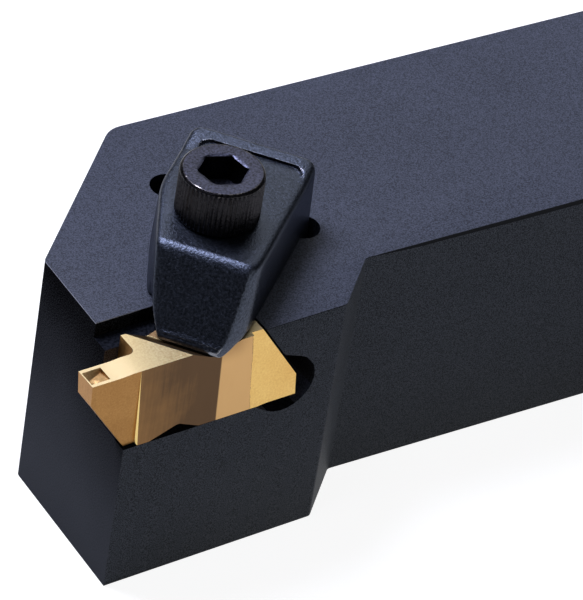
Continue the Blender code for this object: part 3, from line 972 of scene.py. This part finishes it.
    def dress(self, piece: bpy.types.Object) -> None:
        """Pale on top, zoned with painted reflection on the long sides, deeper on the blade, and
        with painted shade and painted dark reflection in the notches.

        The chip pits and the thin bright step on the near side have their own finishes.

        Args:
            piece: the insert.
        """
        normals, centres = face_data(piece)
        axis = np.array([math.cos(INSERT_TURN), math.sin(INSERT_TURN), 0.0])
        own = (centres - np.array(INSERT_CENTRE)) / MM
        along, across = own @ axis, own @ np.array([-axis[1], axis[0], 0.0])
        height, reach = np.abs(own[:, 2]), np.abs(along)
        facing, tilt = np.abs(normals @ axis), np.abs(normals[:, 2])
        step = (across < self.near_side) & (np.abs(reach - self.step_place) < self.step_reach)
        step &= (facing > 0.3) & (tilt < 0.5)
        pit = (reach > self.land_end) & (reach < self.pit_end) & (height > self.pit_floor)
        pit &= (height < self.land_height - 0.01) & (facing < 0.97)
        pit &= (tilt > 0.1) | (facing > 0.1)
        # painted shade and painted dark reflection go on the notch faces
        notch = (tilt > 0.5) & (tilt < 0.985) & (reach < self.notch_end)
        notch |= (facing > 0.3) & (reach < self.flank_end)
        kinds = np.select(
            [step, pit, notch, tilt > 0.6, (along < self.blade_end) | (facing > 0.5)],
            [InsertFace.STEP, InsertFace.PIT, InsertFace.NOTCH, InsertFace.TOP, InsertFace.BLADE],
            InsertFace.SIDE,
        )
        finishes = (
            self.top_finish, self.side_finish, self.blade_finish,
            self.notch_finish, self.pit_finish, self.step_finish,
        )
        paint(piece, finishes, kinds)

    def make(self) -> None:
        """Build, dress and seat the insert."""
        piece = self.build()
        self.dress(piece)
        seat(piece, Body.HOLDER, Slot.INSERT, "insert")


@dataclass
class ClampFrame:
    """Where the clamp and its screw stand: the screw's axis at the holder's top face."""

    foot: Point = (-0.05840643, -0.005325, HOLDER_TOP)
    turn: float = math.radians(41.0)

    def placing(self) -> Matrix:
        """Matrix from the clamp's own frame to the model."""
        return standing(self.foot, self.turn)


@dataclass
class FingerClamp:
    """The forged clamp, in millimetres about the screw's axis: X to the tail, Z up.

    A reach is how far two outlines blend where they cross, and a power says how firm the edges
    between a section's sides are.
    """

    place: ClampFrame = field(default_factory=ClampFrame)
    half_width: float = 6.25
    height: float = 6.2
    underside: float = 0.03
    draft: float = math.radians(2.0)
    tail: float = 11.0
    brow: float = 6.14
    brow_reach: float = 0.85
    front_slope: float = math.radians(34.5)
    taper_start: float = 2.0
    taper: float = math.radians(16.5)
    taper_reach: float = 0.5
    nose_start: float = 5.63
    nose_taper: float = math.radians(24.0)
    nose_reach: float = 0.25
    cheek: Point = (-0.46, -0.85, 0.27)
    cheek_reach: float = 9.1
    near_reach: float = 10.5
    heel_front: float = 8.1
    heel_run: float = 0.1
    heel_depth: float = 2.6
    corner: float = 1.0
    top_edge: float = 0.4
    toe_x: float = -10.28
    toe_z: float = -0.6
    toe_radius: float = 0.48
    toe_flank: float = math.radians(24.9)
    flank_reach: float = 0.25
    nib_reach: float = 0.5
    toe_right: float = -5.3
    toe_left: float = 0.6
    toe_end: float = math.radians(40.0)
    rim_start: float = 7.7
    rim_height: float = 0.5
    seat_end: float = 9.6
    seat_right: float = -5.2
    seat_left: float = 4.55
    seat_corner: float = 1.2
    bore_radius: float = 2.7
    spine: float = 3.1
    around: int = 330
    firm_from: float = -9.2
    firm_to: float = -6.4
    shoulder_power: float = 15.0
    nose_power: float = 7.0
    edge_power: float = 34.0
    toe_power: float = 13.0
    wear_from: float = 1.6
    wear_full: float = 4.5
    sharp_degrees: float = 40.0
    finish: OxideFinish = OxideFinish(
        name="forged_oxide", deep=(0.030, 0.035, 0.046), pale=(0.105, 0.122, 0.165),
        metallic=1.0, roughness=0.34, cloud=0.4, relief=0.000060, worn=0.6,
    )
    # painted shade on the seat's short wall
    shaded_wall_finish: OxideFinish = OxideFinish(
        name="seat_wall_painted_shade", deep=(0.004, 0.005, 0.007), pale=(0.020, 0.023, 0.032),
        metallic=1.0, grain=0.00026, speck=0.45,
    )

    def rows(self) -> Grid:
        """Space the sections along X, close together where the form turns.

        Returns:
            The places in order, from the toe to the tail.
        """
        last = 10.4
        tip = self.toe_x - self.toe_radius
        nib = tip + self.toe_radius * (1.0 - np.cos(np.linspace(0.04, math.pi / 2, 12)))
        body = spaced([
            (self.toe_x + 0.05, 0.10), (-9.3, 0.2), (-6.6, 0.09), (-4.6, 0.3), (6.9, 0.12),
            (7.9, 0.05), (8.3, 0.12), (9.3, 0.06), (9.95, 0.12), (last, 0.06),
        ])
        end = self.tail - self.top_edge * (1.0 - np.sin(np.linspace(0.0, math.pi / 2, 11)))
        return np.concatenate([nib, body[:-1], end[end > last]])

    def toe_arc(self, x: Grid) -> Grid:
        """Half the height of the toe's round tip: the root of radius squared less X squared."""
        return np.sqrt(np.maximum(self.toe_radius**2 - (x - self.toe_x) ** 2, 0.0))

    def tail_round(self, x: Grid, radius: float) -> Grid:
        """How far a round edge of the tail draws a surface in."""
        return round_off(x - (self.tail - radius), radius)

    def top(self, x: Grid) -> Grid:
        """Height of the upper outline: front slope, brow, flat and tail rim.

        Args:
            x: places along X.

        Returns:
            The height at each.
        """
        slope = self.height + (x + self.brow) / math.tan(self.front_slope)
        share = np.clip((x - self.rim_start) / (self.tail - self.rim_start), 0.0, 1.0)
        outline = soft_min(slope, self.height + self.rim_height * share, self.brow_reach)
        nib = self.toe_z + self.toe_arc(x)
        joined = soft_max(outline, nib, self.nib_reach)
        ahead = x < self.toe_x - self.toe_radius * 0.6
        return np.where(ahead, nib, joined) - self.tail_round(x, self.top_edge)

    def bottom(self, x: Grid) -> Grid:
        """Height of the lower outline: round toe, its flank, underside and heel.

        Args:
            x: places along X.

        Returns:
            The height at each.
        """
        touch_x = self.toe_x + self.toe_radius * math.sin(self.toe_flank)
        touch_z = self.toe_z - self.toe_radius * math.cos(self.toe_flank)
        flank = touch_z + (x - touch_x) * math.tan(self.toe_flank)
        lower = np.where(x < touch_x, self.toe_z - self.toe_arc(x), flank)
        lower = soft_min(lower, np.full_like(x, self.underside), self.flank_reach)
        heel = smooth_rise(x, self.heel_front - self.heel_run, self.heel_front + self.heel_run)
        lower = lower - heel * (self.heel_depth + self.underside)
        return lower + self.tail_round(x, self.top_edge)

    def left(self, x: Grid) -> Grid:
        """Y of the left side at the foot: parallel at the tail, then two tapers.

        Args:
            x: places along X.

        Returns:
            The Y at each.
        """
        first = self.half_width - (self.taper_start - x) * math.tan(self.taper)
        at_nose = self.half_width - (self.taper_start + self.nose_start) * math.tan(self.taper)
        second = at_nose - (-self.nose_start - x) * math.tan(self.nose_taper)
        side = soft_min(first, second, self.nose_reach)
        side = soft_min(side, np.full_like(x, self.half_width), self.taper_reach)
        return side - self.tail_round(x, self.corner)

    def sides(self, x: Grid) -> list[tuple[float, float, Grid]]:
        """List the straight sides of each section, apart from its top.

        Args:
            x: place of each section, as a column.

        Returns:
            For each side the Y and Z of its normal and how far along it the side lies.
        """
        draft_cos, draft_sin = math.cos(self.draft), math.sin(self.draft)
        end_cos, end_sin = math.cos(self.toe_end), math.sin(self.toe_end)
        low = self.toe_z - self.toe_radius
        fade = np.clip(x + 7.2, 0.0, 4.0) * 1.4
        right = self.half_width - self.tail_round(x, self.corner)
        turn = self.place.turn
        lean = math.hypot(self.cheek[1], self.cheek[2])
        cheek_limit = (self.cheek_reach - self.cheek[0] * x) / lean
        return [
            (0.0, -1.0, -self.bottom(x)),
            (-draft_cos, draft_sin, right * draft_cos),
            (self.cheek[1] / lean, self.cheek[2] / lean, cheek_limit),
            (-1.0, 0.0, (self.near_reach + x * math.sin(turn)) / math.cos(turn)),
            (draft_cos, draft_sin, self.left(x) * draft_cos),
            (-end_cos, -end_sin, -end_cos * self.toe_right - end_sin * low + fade),
            (end_cos, -end_sin, end_cos * self.toe_left - end_sin * low + fade),
        ]

    def section_radius(self, x: Grid, angle: Grid, centre: tuple[Grid, Grid]) -> Grid:
        """Distance from a section's centre to its outline.

        Each straight side gives, for a direction, how far along it the side lies. The closest
        wins, and sides are blended by adding powers of the inverse distances, which rounds the
        corners: softly between the top and the sides and at the nose, tightly elsewhere.

        Args:
            x: place of each section, as a column.
            angle: directions about the centre, as a row; 0 is left, a quarter turn is up.
            centre: Y and Z of each section's centre.

        Returns:
            The distance for each section and direction.
        """
        across, up = np.cos(angle), np.sin(angle)
        thin = 0.02
        firm = smooth_rise(x, self.firm_from, self.firm_to)
        edge = self.edge_power * firm + self.toe_power * (1.0 - firm)
        total = np.zeros(np.broadcast_shapes(x.shape, angle.shape))
        for ny, nz, limit in self.sides(x):
            gap = np.maximum(limit - (ny * centre[0] + nz * centre[1]), thin)
            total += (np.maximum(ny * across + nz * up, 0.0) / gap) ** edge
        rest = total ** (1.0 / edge)
        over = np.maximum(up, 0.0) / np.maximum(self.top(x) - centre[1], thin)
        power = self.shoulder_power * firm + self.nose_power * (1.0 - firm)
        return (rest**power + over**power) ** (-1.0 / power)

    def press_seat(self, points: Grid) -> Grid:
        """Sink the flat for the screw's head below the raised rim at the tail.

        The seat is a rounded rectangle that is open towards the front. Its signed distance
        gives a short smooth wall between the flat's height and the rim's.

        Args:
            points: the clamp's points.

        Returns:
            The same points, lowered where the seat lies.
        """
        half = (self.seat_left - self.seat_right) / 2 - self.seat_corner
        middle = (self.seat_left + self.seat_right) / 2
        past_x = np.maximum(points[..., 0] - (self.seat_end - self.seat_corner), 0.0)
        past_y = np.maximum(np.abs(points[..., 1] - middle) - half, 0.0)
        outside = np.hypot(past_x, past_y) - self.seat_corner
        wall = smooth_rise(outside, -0.01, 0.06)
        raised = np.maximum(points[..., 2] - self.height, 0.0)
        points[..., 2] -= raised * (1.0 - wall)
        return points

    @staticmethod
    def cap(edge: Grid, shares: Sequence[float]) -> Grid:
        """Rows that shrink an end ring towards its middle, one for each share of its size."""
        middle = edge.mean(axis=0)
        return middle + (edge - middle)[None, :, :] * np.array(shares)[:, None, None]

    def shell(self) -> Shell:
        """Carry the rounded sections along X and close both ends to a point.

        Returns:
            The clamp's closed grid.
        """
        x = self.rows()[:, None]
        angle = np.linspace(0.0, math.tau, self.around, endpoint=False)[None, :]
        free = smooth_rise(x, -9.0, -4.0)
        centre_z = (self.bottom(x) + self.top(x)) / 2 * (1.0 - free) + self.spine * free
        toe_mid = (self.toe_left + self.toe_right) / 2
        centre_y = toe_mid * (1.0 - smooth_rise(x, -9.5, -3.0))
        radius = self.section_radius(x, angle, (centre_y, centre_z))
        across, up = centre_y + radius * np.cos(angle), centre_z + radius * np.sin(angle)
        rings = np.stack([np.broadcast_to(x, radius.shape), across, up], axis=-1)
        rings = self.press_seat(rings)
        front = self.cap(rings[0], (0.0, 0.5))
        back = self.cap(rings[-1], (0.9, 0.6, 0.3, 0.0))
        return Shell(np.concatenate([front, rings, back]))

    def drill(self, piece: bpy.types.Object) -> None:
        """Cut the screw's bore through the clamp.

        Args:
            piece: the clamp.
        """
        bore = bpy.data.meshes.new("bore")
        with opened(bore) as form:
            bmesh.ops.create_cone(
                form, cap_ends=True, segments=64, depth=0.04,
                radius1=self.bore_radius * MM, radius2=self.bore_radius * MM,
            )
            form.transform(Matrix.Translation(Vector(self.place.foot)))
        cutter = link("bore", bore)
        cut = piece.modifiers.new("bore", "BOOLEAN")
        cut.object = cutter
        cut.operation = "DIFFERENCE"
        cut.solver = "EXACT"
        graph = bpy.context.evaluated_depsgraph_get()
        mesh = bpy.data.meshes.new_from_object(piece.evaluated_get(graph))
        piece.modifiers.clear()
        piece.data = mesh
        bpy.data.objects.remove(cutter, do_unlink=True)

    def dress(self, piece: bpy.types.Object) -> None:
        """Forged oxide all over, with painted shade on the short wall round the head's seat.

        Args:
            piece: the clamp.
        """
        normals, centres = face_data(piece)
        x, y, z = moved(centres, self.place.placing().inverted()).T / MM
        beside = (y > self.seat_right - 0.15) & (y < self.seat_left + 0.15)
        inside = beside & (x > self.rim_start) & (x < self.seat_end + 0.2)
        # painted shade: the seat's steep wall faces
        wall = inside & (z > self.height - 0.05) & (normals[:, 2] < 0.9)
        paint(piece, (self.finish, self.shaded_wall_finish), wall)

    def make(self) -> None:
        """Build, dress and seat the clamp."""
        piece = build_mesh("clamp_body", [self.shell()], self.place.placing())
        self.drill(piece)
        self.dress(piece)
        mark_wear(piece, self.wear_from, self.wear_full)
        smooth_by_angle(piece, self.sharp_degrees)
        seat(piece, Body.CLAMP, Slot.CLAMP, "clamp")


@dataclass
class CapScrew:
    """The knurled socket-head screw, in millimetres about its own axis."""

    place: ClampFrame = field(default_factory=ClampFrame)
    under_head: float = 6.22
    head_height: float = 4.83
    head_radius: float = 3.87
    rim_chamfer: float = 0.24
    foot_round: float = 0.25
    knurls: int = 56
    knurl_depth: float = 0.13
    knurl_power: float = 0.7
    knurl_fade: float = 0.25
    flats: float = 3.97
    socket_depth: float = 2.6
    socket_cone: float = 0.7
    lead_in: float = 0.09
    shank_radius: float = 2.415
    pitch: float = 0.79375
    thread_depth: float = 0.43
    tip: float = -12.5
    tip_chamfer: float = 0.6
    columns: int = 448
    thread_columns: int = 72
    rings_in_pitch: int = 8
    wear_from: float = 1.2
    wear_full: float = 6.0
    knurl_wear: float = 0.22
    rim_wear: float = 0.4
    ring_wear_and_highlight: float = 0.55
    sharp_degrees: float = 32.0
    finish: OxideFinish = OxideFinish(
        name="screw_oxide", deep=(0.034, 0.035, 0.046), pale=(0.100, 0.105, 0.158),
        metallic=1.0, roughness=0.36, grain=0.00020, relief=0.000016, speck=0.8,
        worn=0.5, bare=(0.34, 0.32, 0.32),
    )
    # painted shade on the knurled wall and the socket's upright walls
    shaded_wall_finish: OxideFinish = OxideFinish(
        name="knurl_painted_shade", deep=(0.006, 0.006, 0.008), pale=(0.045, 0.043, 0.046),
        metallic=1.0, roughness=0.30, shine=0.5, grain=0.00020, relief=0.000016,
        worn=0.8, bare=(0.40, 0.37, 0.34),
    )

    def head(self) -> Shell:
        """Profile carried round the axis, from under the head over the rim into the socket.

        The outer wall carries a knurl, a wave of the angle that fades out at both ends. The
        radius inside the rim goes from round to six-sided: half the flats over the cosine of
        the angle to the nearest flat.

        Returns:
            The head's closed grid.
        """
        angle = np.linspace(0.0, math.tau, self.columns, endpoint=False)
        low, high = self.under_head, self.under_head + self.head_height
        outer, foot, chamfer, lead = (
            self.head_radius, self.foot_round, self.rim_chamfer, self.lead_in
        )
        wall_end, floor = high - chamfer - self.knurl_fade, high - self.socket_depth
        hexagon = self.flats / 2 / np.cos((angle % (math.pi / 3)) - math.pi / 6)
        round_in = self.flats / math.sqrt(3.0) + lead * 0.35
        knurl = self.knurl_depth * (0.5 - 0.5 * np.cos(angle * self.knurls)) ** self.knurl_power
        profile: list[tuple[Any, float]] = [(0.0, low), (outer - foot, low)]
        profile += [
            (outer - foot * (1.0 - share) - knurl * share, low + foot * share)
            for share in (0.35, 0.7, 1.0)
        ]
        profile += [(outer - knurl, z) for z in np.linspace(low + foot + 0.1, wall_end, 6)]
        profile += [(outer - knurl * 0.6, wall_end + 0.14), (outer - 0.02, wall_end + 0.25)]
        profile += [
            (outer - chamfer * share, high - chamfer * (1.0 - share) * 0.95)
            for share in np.linspace(0.15, 0.9, 5)
        ]
        profile += [
            (outer - chamfer - 0.06, high), (outer - chamfer - 0.30, high),
            (round_in + 0.25, high), (round_in + 0.02, high),
            (round_in * 0.5 + hexagon * 0.5, high - lead * 0.5),
            (hexagon + 0.012, high - lead), (hexagon, high - lead - 0.03),
            (hexagon, floor), (hexagon * 0.85, floor - 0.02), (0.0, floor - self.socket_cone),
        ]
        rings = [
            np.stack([radius * np.cos(angle), radius * np.sin(angle), z + 0.0 * angle], axis=-1)
            for radius, z in profile
        ]
        return Shell(np.stack(rings))

    def shank(self) -> Shell:
        """Threaded shank: the radius follows a V wave of the height less the turned share.

        The wave is cut off flat at the crests, and the last turns shrink into the tip's
        chamfer.

        Returns:
            The shank's closed grid.
        """
        angle = np.linspace(0.0, math.tau, self.thread_columns, endpoint=False)[None, :]
        rise = self.pitch / self.rings_in_pitch
        height = np.arange(self.tip, self.under_head + 0.3, rise)[:, None]
        phase = (height / self.pitch - angle / math.tau) % 1.0
        wave = np.clip(np.abs(phase * 2.0 - 1.0) * 1.15 - 0.08, 0.0, 1.0)
        radius = self.shank_radius - self.thread_depth * wave
        lead = self.shank_radius - self.tip_chamfer + np.maximum(height - self.tip, 0.0)
        radius = np.minimum(radius, lead)
        grid = np.stack(
            [radius * np.cos(angle), radius * np.sin(angle), height + 0.0 * angle], axis=-1
        )
        on_axis = np.array([0.0, 0.0, 1.0])
        return Shell(np.concatenate([grid[:1] * on_axis, grid, grid[-1:] * on_axis]))

    def spare_knurls(self, piece: bpy.types.Object) -> None:
        """Lessen the wear, mostly on the wall and in the socket, and lay a thin ring of bare
        metal that is partly wear and partly a painted highlight.

        The ring lies where the head's flat top meets the rim's chamfer.

        Args:
            piece: the screw, with its "wear" attribute.
        """
        layer = piece.data.attributes["wear"].data
        wear = read(layer, "value", 1)[:, 0]
        x, y, z = ((read(piece.data.vertices, "co", 3) - np.array(self.place.foot)) / MM).T
        spread, drop = np.hypot(x, y), self.under_head + self.head_height - z
        share = np.where((drop > 0.30) | (spread < 3.0), self.knurl_wear, self.rim_wear)
        # partly wear, partly painted highlight: a thin bare ring at the top of the rim
        ring = (drop < 0.04) & (spread > self.head_radius - self.rim_chamfer - 0.1)
        layer.foreach_set("value", np.where(ring, self.ring_wear_and_highlight, wear * share))

    def dress(self, piece: bpy.types.Object) -> None:
        """Oxide all over, with painted shade on the knurled wall and on the socket's upright
        walls.

        Args:
            piece: the screw.
        """
        normals, centres = face_data(piece)
        tilt = np.abs(normals[:, 2])
        spread = np.hypot(*(centres[:, :2] - np.array(self.place.foot[:2])).T) / MM
        # painted shade: the knurled wall and the socket's upright walls
        wall = (tilt < 0.97) & (spread > self.head_radius - 0.5)
        socket = (tilt < 0.3) & (spread < self.flats * 0.62)
        paint(piece, (self.finish, self.shaded_wall_finish), wall | socket)

    def make(self) -> None:
        """Build, dress and seat the screw."""
        piece = build_mesh("cap_screw", [self.head(), self.shank()], self.place.placing())
        mark_wear(piece, self.wear_from, self.wear_full)
        self.spare_knurls(piece)
        smooth_by_angle(piece, self.sharp_degrees)
        self.dress(piece)
        seat(piece, Body.SCREW, Slot.SCREW, "clamp_screw")


@dataclass(frozen=True)
class Lamp:
    """A square soft lamp that faces a point of the tool, in metres and watts."""

    name: str
    place: Point
    size: float
    power: float
    colour: Colour = (1.0, 1.0, 1.0)
    aim: Point = (-0.045, -0.003, 0.02)

    def make(self) -> None:
        """Hang the lamp and turn it to its aim."""
        light = bpy.data.lights.new(self.name, "AREA")
        light.shape = "SQUARE"
        light.size = self.size
        light.energy = self.power
        light.color = self.colour
        lamp = link(self.name, light)
        lamp.location = self.place
        sight = Vector(self.aim) - Vector(self.place)
        lamp.rotation_euler = sight.to_track_quat("-Z", "Y").to_euler()


@dataclass
class Studio:
    """Pale floor, soft light and the camera."""

    eye: Point = (-0.2493087, -0.2724778, 0.2832447)
    right: Point = (0.85076475, -0.50878636, 0.13166539)
    down: Point = (-0.23337604, -0.59021918, -0.77277225)
    forward: Point = (0.47088742, 0.62671984, -0.62087622)
    focal_pixels: float = 4660.98
    image_width: float = 583.0
    sensor_width: float = 36.0
    sky: Colour = (0.93, 0.96, 1.0)
    sky_strength: float = 0.05
    floor_reach: float = 3.0
    floor_z: float = -2e-5
    floor_tone: float = 0.35
    floor_white: float = 0.90
    floor_in_gloss: float = 0.66
    lamps: tuple[Lamp, ...] = (
        Lamp("overhead", (-0.16, 0.24, 0.54), 0.26, 3.3, (0.92, 0.95, 1.18)),
        Lamp("back", (0.33, 0.50, 0.52), 0.50, 0.74),
        Lamp("zenith", (-0.24, -0.05, 0.54), 0.12, 0.14, (0.9, 0.95, 1.2)),
        Lamp("side_fill", (0.10, -0.62, 0.22), 0.40, 0.45),
    )

    def camera(self) -> None:
        """Set the camera where the photograph's straight edges put it."""
        lens = bpy.data.cameras.new("camera")
        lens.sensor_fit = "HORIZONTAL"
        lens.sensor_width = self.sensor_width
        lens.lens = self.focal_pixels / self.image_width * self.sensor_width
        lens.clip_start = 0.01
        lens.clip_end = 20.0
        camera = link("camera", lens)
        axes = Matrix((self.right, [-v for v in self.down], [-v for v in self.forward]))
        camera.matrix_world = Matrix.Translation(Vector(self.eye)) @ axes.transposed().to_4x4()
        bpy.context.scene.camera = camera

    def floor(self) -> None:
        """A wide pale floor that the tool stands on, white to the camera where it is lit."""
        mesh = bpy.data.meshes.new("floor")
        signs = np.array([(-1, -1), (1, -1), (1, 1), (-1, 1)])
        corners = np.column_stack([signs * self.floor_reach, np.full(4, self.floor_z)])
        mesh.from_pydata(corners, [], [(0, 1, 2, 3)])
        bench = Bench("pale_floor")
        seen, glossy, through = (
            bench.add("ShaderNodeLightPath", {}, {}, ray)
            for ray in ("Is Camera Ray", "Is Glossy Ray", "Is Transmission Ray")
        )
        shown = (seen + glossy * self.floor_in_gloss + through).low(1.0)
        bench.feed(
            Base_Color=(self.floor_tone,) * 3,
            Roughness=1.0,
            Specular_IOR_Level=0.0,
            Emission_Color=bench.blend(shown, (0.0,) * 3, (self.floor_white,) * 3),
            Emission_Strength=1.0,
        )
        mesh.materials.append(bench.material)
        floor = link("floor", mesh)

    def world(self) -> None:
        """An even pale sky."""
        world = bpy.data.worlds.new("sky")
        world.use_nodes = True
        background = world.node_tree.nodes["Background"]
        background.inputs["Color"].default_value = (*self.sky, 1.0)
        background.inputs["Strength"].default_value = self.sky_strength
        bpy.context.scene.world = world
        bpy.context.scene.view_settings.view_transform = "Standard"

    def make(self) -> None:
        """Set up the floor, the sky, the lamps and the camera."""
        self.floor()
        self.world()
        for lamp in self.lamps:
            lamp.make()
        self.camera()


def main() -> None:
    """Build the studio and every piece of the tool."""
    Studio().make()
    HolderBody().make()
    NotchedInsert().make()
    FingerClamp().make()
    CapScrew().make()


if __name__ == "__main__":
    main()
